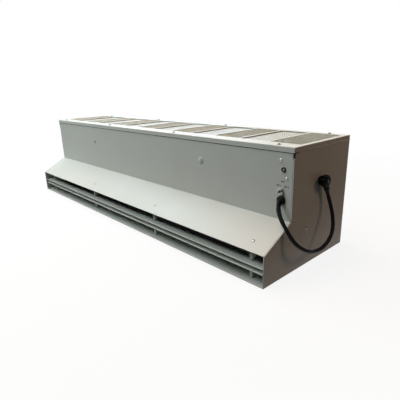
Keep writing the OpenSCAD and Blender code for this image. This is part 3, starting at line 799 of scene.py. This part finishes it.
# %% [markdown]
# ## Gland
#
# A nylon gland clamps the lead where it leaves the casing. Its nut has a grooved rim, an elbow turns
# the lead down, and a rubber sleeve tapers off along its first 25 mm, so that it cannot kink there.

# %% Gland
SHANK_RADIUS = 8 * MM
SHANK_LENGTH = 9.4 * MM
NUT_RIM = [(0, 0.2), (0, 3.6), (0.8, 4.6), (2.6, 6.3), (3.2, 6.5)]  # millimetres in from the rim, and out
ELBOW_RADII = (5.8 * MM, 4.9 * MM)
ELBOW_STEPS = 12
gland_place = on_front("gland_locknut")
gland_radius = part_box("lead_gland")[1].z - gland_place.z
nut_outline = [(0, -SHANK_LENGTH), (SHANK_RADIUS, -SHANK_LENGTH), (SHANK_RADIUS, 0)]
nut_outline += [(gland_radius - inwards * MM, out * MM) for inwards, out in NUT_RIM]
nut_outline.append((0, nut_outline[-1][1]))
gland_nut = turned("gland_nut", nut_outline, gland_place, OUT, segments=72, grooves=12, depth=0.7 * MM)
neck_root = gland_place + 4.0 * MM * OUT
neck_bend = gland_place + 9.5 * MM * OUT
way = shares(ELBOW_STEPS) + [1.0]
elbow_path = [
    (1 - t) ** 2 * neck_root + 2 * t * (1 - t) * neck_bend + t ** 2 * lead_points[0] for t in way]
elbow_radii = [(1 - t) * ELBOW_RADII[0] + t * ELBOW_RADII[1] for t in way]
elbow = swept("gland_elbow", elbow_path, elbow_radii)
piece("cable_gland", joined("cable_gland", [gland_nut, elbow]), "black_moulding",
      stands_for=["lead_gland"])
print("gland radius:", round(gland_radius, 4))

# %% [markdown]
# The sleeve follows the lead's own curve. The spline's points are read back in even steps, so the two
# can't part.

# %% Strain relief
SLEEVE_LENGTH = 25 * MM
SLEEVE_STEP = 1.0 * MM
SLEEVE_WALL = 0.55 * MM
SLEEVE_TAPER = 0.4 * MM
RING_DEPTH = 0.12 * MM  # of the groove in every fourth step


def lead_line(step):
    """Points along the lead's curve, in even steps from the gland."""
    finer = lead_data.copy()
    finer.bevel_depth = 0.0
    finer.resolution_u = 24
    line = [point.co.copy() for point in baked(placed("lead_line", finer)).vertices]
    evenly = [line[0]]
    for point in line[1:]:
        if (point - evenly[-1]).length >= step:
            evenly.append(point)
    return evenly


count = round(SLEEVE_LENGTH / SLEEVE_STEP)
sleeve_path = lead_line(SLEEVE_STEP)[:count]
sleeve_radii = [
    LEAD_DIAMETER / 2 + SLEEVE_WALL - SLEEVE_TAPER * i / count - (RING_DEPTH if i % 4 == 3 else 0)
    for i in range(count)
]
piece("lead_sleeve", swept("lead_sleeve", sleeve_path, sleeve_radii), "black_rubber")
print("sleeve points:", count)

# %% [markdown]
# ## Plug
#
# The plug is a moulded elbow. Its round head has eight finger grooves and a small grey cap in the
# middle, and a ribbed neck takes the lead in at the side.

# %% Plug
NECK_RADIUS = 7.2 * MM
NECK_START = 8 * MM
NECK_END = 22 * MM
RIB_DEPTH = 0.7 * MM
CAP_RADIUS = 3.8 * MM
CROWN = [(0, 4.0), (1.2, 1.8), (3.2, 0.5), (6.0, 0.1)]  # millimetres in from the rim, and off the top
plug_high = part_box("elbow_plug")[1]
socket_low, socket_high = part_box("side_socket")
plug_place = Vector((
    socket_high.x, (socket_low.y + socket_high.y) / 2, (socket_low.z + socket_high.z) / 2))
plug_depth = plug_high.x - socket_high.x
plug_radius = plug_high.z - plug_place.z
RIGHT = Vector((1, 0, 0))
head_outline = [(0, 0), (plug_radius - 3 * MM, 0), (plug_radius, 2.4 * MM)]
head_outline += [(plug_radius - inwards * MM, plug_depth - down * MM) for inwards, down in CROWN]
head_outline += [(4.2 * MM, plug_depth - 0.1 * MM), (4.0 * MM, plug_depth - 0.9 * MM),
                 (0, plug_depth - 0.9 * MM)]
head = turned("plug_head", head_outline, plug_place, RIGHT, segments=96, grooves=8, depth=3.6 * MM)
neck_centre = Vector((lead_points[-1].x, plug_place.y, plug_place.z))
neck_outline = [(0, NECK_START), (NECK_RADIUS, NECK_START)]
for rib in range(4):
    start = (12 + 2.6 * rib) * MM
    wide = NECK_RADIUS - 0.12 * rib * MM
    neck_outline += [(wide, start), (wide - RIB_DEPTH, start + 0.5 * MM),
                     (wide - RIB_DEPTH, start + 1.2 * MM), (wide, start + 1.7 * MM)]
neck_outline += [(6.6 * MM, NECK_END), (0, NECK_END)]
neck = turned("plug_neck", neck_outline, neck_centre, -into_plug)
plug = piece("elbow_plug_moulding", joined("elbow_plug_moulding", [head, neck]), "black_moulding",
             stands_for=["elbow_plug"])
cap = turned("plug_cap", [
    (0, -1.0 * MM), (CAP_RADIUS, -1.0 * MM), (CAP_RADIUS, -0.3 * MM), (CAP_RADIUS - 0.5 * MM, 0), (0, 0),
], plug_place + plug_depth * RIGHT, RIGHT)
piece("plug_cap", cap, "black_moulding", material=grained("grey_cap", "#5a5653", 0.4, 1 * MM, 0.02 * MM))
print("plug radius:", round(plug_radius, 4), "depth:", round(plug_depth, 4))

# %% [markdown]
# ## The lead's sheath
#
# The lead now gets its sheath, rides on the casing, and takes the place of the plain tube.

lead_data.materials.append(FINISHES["lead_sheath"])
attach(lead, CASING)
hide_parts("supply_lead")

# %% [markdown]
# ## Perforated plates
#
# Every second window of the lid shows a light perforated plate: punched steel, with round holes 3 mm
# wide, 5.4 mm apart in rows that are shifted by half a step. One cell with a hole is drawn from listed
# points. A Geometry Nodes tree lays the cells like bricks, fills the open end of each course with a plain
# half cell, and thickens the sheet. Neighbouring cells share their corner points, so merging them gives
# one closed sheet with real holes.

# %% One cell of the perforation
HOLE_DIAMETER = 3.0 * MM
HOLE_STEP = 5.4 * MM


def cell_mesh(width, depth, hole_radius):
    """A flat cell with a hole: a ring of twelve quads between a circle and a rectangle."""
    rim = [(2, 0), (2, 1), (1, 1), (0, 1), (-1, 1), (-2, 1)]
    rim += [(-x, -y) for x, y in rim]
    outer = [(x * width / 4, y * depth / 2, 0) for x, y in rim]
    count = len(rim)
    angles = [math.tau * i / count for i in range(count)]
    inner = [(hole_radius * math.cos(a), hole_radius * math.sin(a), 0) for a in angles]
    faces = [(i, (i + 1) % count, count + (i + 1) % count, count + i) for i in range(count)]
    return plain_mesh("cell", outer + inner, [tuple(reversed(face)) for face in faces])


def half_cell_mesh(width, depth):
    """The plain half cell at the end of a course, with points where its neighbours have theirs."""
    points = [(x * width / 4, y * depth / 2, 0) for y in (-1, 0, 1) for x in (-1, 0, 1)]
    return plain_mesh("half_cell", points, [(i, i + 1, i + 4, i + 3) for i in (0, 1, 3, 4)])


# %% [markdown]
# `Courses` counts the rows of bricks. Whether a course's number is odd sets its sign, and the sign
# shifts it by a quarter of a step one way or the other. The half cells sit at the end that this opens.

# %% The brick tree
WELD = 0.01 * MM


def brick_tree():
    tree, given = new_tree("perforated_sheet", [
        ("Cell", "Object"), ("Half Cell", "Object"), ("Columns", "Int"), ("Courses", "Int"),
        ("Step", "Float"), ("Course Depth", "Float"), ("Thickness", "Float"), ("Finish", "Material"),
    ])
    gaps = add(tree, "ShaderNodeMath", {0: given["Columns"], 1: 1.0}, operation="SUBTRACT")
    span_x = add(tree, "ShaderNodeMath", {0: gaps, 1: given["Step"]}, operation="MULTIPLY")
    gaps = add(tree, "ShaderNodeMath", {0: given["Courses"], 1: 1.0}, operation="SUBTRACT")
    span_y = add(tree, "ShaderNodeMath", {0: gaps, 1: given["Course Depth"]}, operation="MULTIPLY")
    grid = add(tree, "GeometryNodeMeshGrid", {
        "Size X": span_x, "Size Y": span_y, "Vertices X": given["Columns"], "Vertices Y": given["Courses"],
    })

    place = add(tree, "ShaderNodeSeparateXYZ", {0: add(tree, "GeometryNodeInputPosition")})
    half_y = add(tree, "ShaderNodeMath", {0: span_y, 1: 0.5}, operation="MULTIPLY")
    from_front = add(tree, "ShaderNodeMath", {0: place.outputs["Y"], 1: half_y}, operation="ADD")
    rows = add(tree, "ShaderNodeMath", {0: from_front, 1: given["Course Depth"]}, operation="DIVIDE")
    course = add(tree, "ShaderNodeMath", {0: rows}, operation="ROUND")
    odd = add(tree, "ShaderNodeMath", {0: course, 1: 2.0}, operation="MODULO")
    sign = add(tree, "ShaderNodeMath", {0: odd, 1: 2.0, 2: -1.0}, operation="MULTIPLY_ADD")
    quarter = add(tree, "ShaderNodeMath", {0: given["Step"], 1: 0.25}, operation="MULTIPLY")
    half_back = add(tree, "ShaderNodeMath", {0: given["Step"], 1: -0.5}, operation="MULTIPLY")
    end_x = add(tree, "ShaderNodeMath", {0: given["Columns"], 1: half_back}, operation="MULTIPLY")
    ends = centred_line(tree, given["Courses"], given["Course Depth"], "Y")

    laid = []
    for points, shift, source in ((grid, quarter, given["Cell"]), (ends, end_x, given["Half Cell"])):
        signed = add(tree, "ShaderNodeMath", {0: sign, 1: shift}, operation="MULTIPLY")
        offset = add(tree, "ShaderNodeCombineXYZ", {"X": signed})
        moved = add(tree, "GeometryNodeSetPosition", {"Geometry": points, "Offset": offset})
        shape = add(tree, "GeometryNodeObjectInfo", {"Object": source}).outputs["Geometry"]
        laid.append(add(tree, "GeometryNodeInstanceOnPoints", {"Points": moved, "Instance": shape}))

    bricks = add(tree, "GeometryNodeJoinGeometry", {0: laid})
    loose = add(tree, "GeometryNodeRealizeInstances", {"Geometry": bricks})
    sheet = add(tree, "GeometryNodeMergeByDistance", {"Geometry": loose, "Distance": WELD})
    raised = add(tree, "GeometryNodeExtrudeMesh", {
        "Mesh": sheet, "Offset Scale": given["Thickness"], "Individual": False})
    under = add(tree, "GeometryNodeFlipFaces", {"Mesh": sheet})
    both = add(tree, "GeometryNodeJoinGeometry", {0: [raised, under]})
    closed = add(tree, "GeometryNodeMergeByDistance", {"Geometry": both, "Distance": WELD})
    return closed_tree(tree, closed, given["Finish"])


# %% Lay the perforated plates
plate_low, plate_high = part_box("perforated_plate_1")
plate_size = plate_high - plate_low
columns = round(plate_size.x / HOLE_STEP - 0.5)
hole_step = plate_size.x / (columns + 0.5)
courses = round(plate_size.y / (hole_step * math.sin(math.radians(60))))
course_depth = plate_size.y / courses
plate_mesh = grown("perforated_sheet", brick_tree(), {
    "Cell": tool("cell", cell_mesh(hole_step, course_depth, HOLE_DIAMETER / 2)),
    "Half Cell": tool("half_cell", half_cell_mesh(hole_step, course_depth)),
    "Columns": columns, "Courses": courses, "Step": hole_step, "Course Depth": course_depth,
    "Thickness": plate_size.z, "Finish": casing_paint,
})
for number in range(1, 7):
    node = f"perforated_plate_{number}"
    low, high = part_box(node)
    mesh = plate_mesh.copy()
    mesh.transform(Matrix.Translation(((low.x + high.x) / 2, (low.y + high.y) / 2, low.z)))
    piece(f"punched_plate_{number}", mesh, "casing_paint", stands_for=[node])
print("plate:", columns, "x", courses, "holes,", len(plate_mesh.polygons), "faces")

# %% [markdown]
# ## Mesh screens
#
# The windows between them hold shallow trays with a fine dark mesh. A real insect mesh has a wire every
# millimetre and a half. Here the wires are 2.5 mm apart, which still reads as cloth from a step away.
# The tree lays two layers of round wires across each other, adds the tray's rim, and puts the whole in
# each of the seven windows.

# %% The screen tree
WIRE_STEP = 2.5 * MM
WIRE_DIAMETER = 0.8 * MM
TRAY_WALL = 1.0 * MM
TRAY_LIP = 5.0 * MM
SQUARE = [(-1, -1), (1, -1), (1, 1), (-1, 1)]


def tray_mesh(width, depth, height, wall, lip):
    """A frame round a screen: a flat lip on top, and a rim turned down on four sides."""
    shape = bmesh.new()
    rings = [
        (0, height), (0, 0), (wall, 0), (wall, height - wall), (lip, height - wall), (lip, height),
    ]
    loops = []
    for inset, z in rings:
        loops.append([
            shape.verts.new((x * (width / 2 - inset), y * (depth / 2 - inset), z)) for x, y in SQUARE
        ])
    for this, after in zip(loops, loops[1:] + loops[:1]):
        bridge(shape, this, after)
    bmesh.ops.recalc_face_normals(shape, faces=shape.faces)
    return finished("tray", shape)


def screen_tree():
    tree, given = new_tree("mesh_screens", [
        ("Tray", "Object"), ("Trays", "Int"), ("Tray Step", "Float"), ("Width", "Float"),
        ("Depth", "Float"), ("Height", "Float"), ("Wire Step", "Float"), ("Wire Radius", "Float"),
        ("Finish", "Material"),
    ])
    layers = []
    quarter_turn = math.tau / 4
    for across, size, reach, turn, lift in (  # lift is the layer's height, in wire radii
        ("X", "Width", "Depth", (quarter_turn, 0, 0), -1.0),
        ("Y", "Depth", "Width", (0, quarter_turn, 0), -2.6),
    ):
        ratio = add(tree, "ShaderNodeMath", {0: given[size], 1: given["Wire Step"]}, operation="DIVIDE")
        count = add(tree, "ShaderNodeMath", {0: ratio}, operation="FLOOR")
        lifted = add(tree, "ShaderNodeMath", {0: given["Wire Radius"], 1: lift}, operation="MULTIPLY")
        height = add(tree, "ShaderNodeMath", {0: given["Height"], 1: lifted}, operation="ADD")
        line = centred_line(tree, count, given["Wire Step"], across, height)
        wire = add(tree, "GeometryNodeMeshCylinder", {
            "Vertices": 6, "Radius": given["Wire Radius"], "Depth": given[reach]})
        layers.append(add(tree, "GeometryNodeInstanceOnPoints", {
            "Points": line, "Instance": wire, "Rotation": turn}))
    layers.append(add(tree, "GeometryNodeObjectInfo", {"Object": given["Tray"]}).outputs["Geometry"])
    screen = add(tree, "GeometryNodeJoinGeometry", {0: layers})
    one_screen = add(tree, "GeometryNodeGeometryToInstance", {0: screen})
    row = centred_line(tree, given["Trays"], given["Tray Step"])
    screens = add(tree, "GeometryNodeInstanceOnPoints", {"Points": row, "Instance": one_screen})
    return closed_tree(tree, screens, given["Finish"])


# %% Hang the screens
SCREENS = 7
bay_step = (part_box("perforated_plate_2")[0].x - plate_low.x) / 2
screen_low, screen_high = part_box("mesh_screens")
screen_size = Vector((plate_size.x, screen_high.y - screen_low.y, screen_high.z - screen_low.z))
screen_mesh = grown("mesh_screens", screen_tree(), {
    "Tray": tool("tray", tray_mesh(*screen_size, TRAY_WALL, TRAY_LIP)),
    "Trays": SCREENS, "Tray Step": 2 * bay_step,
    "Width": screen_size.x - 2 * TRAY_WALL, "Depth": screen_size.y - 2 * TRAY_WALL,
    "Height": screen_size.z, "Wire Step": WIRE_STEP, "Wire Radius": WIRE_DIAMETER / 2,
    "Finish": FINISHES["dark_mesh"],
})
screen_mesh.transform(Matrix.Translation((0, (screen_low.y + screen_high.y) / 2, screen_low.z)))
piece("fine_mesh_screens", screen_mesh, "dark_mesh", stands_for=["mesh_screens"])
print("screens:", len(screen_mesh.polygons), "faces")

# %% [markdown]
# ## Floor, light and air
#
# The picture has a plain white ground. The floor throws mid grey light back, so that the casing's dim
# end is not flooded from below, and is near white for the camera and for mirrors. Soft lamps hang over
# the casing, a cool one at the left and a warm one in the middle. Two high in front reach in under the
# hood, as far as the vanes. Two at the rear light the back and give the glare that runs over the lid. A
# weak warm one brushes the right end, where the plug and the lead cast soft shadows. What the right end
# mirrors is dim and brown.

# %% Floor
FLOOR_SIZE = 12.0
FLOOR_DROP = 0.4 * MM
FLOOR_BOUNCE = "#565650"
FLOOR_GLOW = 0.88  # how much of the floor's white is its own
GLOW_FROM, GLOW_TO = 0.8, 1.6  # over this distance, all of it comes to be
DIM_FROM, DIM_TO = 0.60, 0.75  # over this X, mirrors come to see a dimmer floor
DIM_SHARE = 0.75  # and how much dimmer it gets


def seen_directly(tree):
    """1 where a ray comes from the camera, a mirror or a glass, and 0 for light that spreads."""
    path = add(tree, "ShaderNodeLightPath").outputs
    either = add(tree, "ShaderNodeMath", {
        0: path["Is Camera Ray"], 1: path["Is Glossy Ray"]}, operation="MAXIMUM")
    return add(tree, "ShaderNodeMath", {0: either, 1: path["Is Transmission Ray"]}, operation="MAXIMUM")


def floor_material():
    material = bpy.data.materials.new("studio_floor")
    tree = empty_tree(material)
    lit = add(tree, "ShaderNodeBsdfDiffuse", {"Color": linear("#fafafa")})
    bounced = add(tree, "ShaderNodeBsdfDiffuse", {"Color": linear(FLOOR_BOUNCE)})
    place = add(tree, "ShaderNodeTexCoord").outputs["Object"]
    across = add(tree, "ShaderNodeSeparateXYZ", {0: place})
    dimming = add(tree, "ShaderNodeMapRange", {
        "Value": across, "From Min": DIM_FROM, "From Max": DIM_TO, "To Max": DIM_SHARE})
    in_mirrors = add(tree, "ShaderNodeLightPath").outputs["Is Glossy Ray"]
    hidden = add(tree, "ShaderNodeMath", {0: dimming, 1: in_mirrors}, operation="MULTIPLY")
    shows = add(tree, "ShaderNodeMath", {0: seen_directly(tree), 1: hidden}, operation="SUBTRACT")
    distance = add(tree, "ShaderNodeVectorMath", {0: place}, operation="LENGTH").outputs["Value"]
    far = add(tree, "ShaderNodeMapRange", {"Value": distance, "From Min": GLOW_FROM, "From Max": GLOW_TO})
    white = add(tree, "ShaderNodeEmission", {"Color": (1, 1, 1, 1)})
    near = add(tree, "ShaderNodeMixShader", {0: FLOOR_GLOW, 1: lit, 2: white})
    direct = add(tree, "ShaderNodeMixShader", {0: far, 1: near, 2: white})
    both = add(tree, "ShaderNodeMixShader", {0: shows, 1: bounced, 2: direct})
    add(tree, "ShaderNodeOutputMaterial", {"Surface": both})
    return material


corners = [(x * FLOOR_SIZE / 2, y * FLOOR_SIZE / 2, -FLOOR_DROP) for x, y in SQUARE]
floor_mesh = plain_mesh("floor", corners, [(0, 1, 2, 3)])
floor_mesh.materials.append(floor_material())
floor = placed("floor", floor_mesh)
print("floor:", FLOOR_SIZE, "m wide")

# %% Lamps
LAMPS = [
    # name, place, size in metres, watts, colour
    ("over_left", (-1.6, 0.1, 2.0), 1.3, 40.0, "#c2efff"),
    ("over_top", (-0.5, 0.1, 2.2), 1.3, 20.0, "#ffb070"),
    ("front_high", (-1.0, -1.75, 2.1), 1.0, 28.0, "#e8f9ff"),
    ("front_top", (0.2, -1.0, 2.7), 1.0, 17.0, "#fff6f1"),
    ("rear_left", (-2.3, 2.1, 1.0), 1.8, 21.0, "#cde8ff"),
    ("rear_high", (-0.8, 2.4, 1.8), 1.6, 6.5, "#f4ffe4"),
    ("side_fill", (2.0, 1.0, 1.3), 0.5, 4.8, "#ffcdac"),
]
for name, place, size, watts, colour in LAMPS:
    lamp = bpy.data.lights.new(name, "AREA")
    lamp.size = size
    lamp.energy = watts
    lamp.color = linear(colour)[:3]
    holder = placed(name, lamp)
    holder.location = place
    holder.rotation_euler = (-Vector(place)).to_track_quat("-Z", "Y").to_euler()
print("lamps:", len(LAMPS))

# %% World
AIR_LEFT, AIR_RIGHT = "#8f979c", "#2d2721"  # the light from either side
AIR_STRENGTH = 0.22
MIRROR_RIGHT = "#4c3a2c"  # what mirrors see on the right
MIRROR_EDGE = 0.4  # and how far right they must look to see only that
world = bpy.data.worlds.new("studio")
scene.world = world
air = empty_tree(world)
direction = add(air, "ShaderNodeTexCoord").outputs["Generated"]
across = add(air, "ShaderNodeSeparateXYZ", {0: direction})
to_right = add(air, "ShaderNodeMapRange", {"Value": across, "From Min": -1.0})
ambient = add(air, "ShaderNodeMix", {
    "Factor": to_right, 6: linear(AIR_LEFT), 7: linear(AIR_RIGHT)}, data_type="RGBA")
dim = add(air, "ShaderNodeBackground", {"Color": ambient.outputs[2], "Strength": AIR_STRENGTH})
camera_ray = add(air, "ShaderNodeLightPath").outputs["Is Camera Ray"]
others = add(air, "ShaderNodeMath", {0: 1.0, 1: camera_ray}, operation="SUBTRACT")
dimming = add(air, "ShaderNodeMapRange", {"Value": across, "From Max": MIRROR_EDGE})
in_mirrors = add(air, "ShaderNodeMath", {0: dimming, 1: others}, operation="MULTIPLY")
ground = add(air, "ShaderNodeMix", {
    "Factor": in_mirrors, 6: linear("#ffffff"), 7: linear(MIRROR_RIGHT)}, data_type="RGBA")
bright = add(air, "ShaderNodeBackground", {"Color": ground.outputs[2]})
sky = add(air, "ShaderNodeMixShader", {0: seen_directly(air), 1: dim, 2: bright})
add(air, "ShaderNodeOutputWorld", {"Surface": sky})
scene.view_settings.view_transform = "Standard"
print("air:", AIR_STRENGTH)
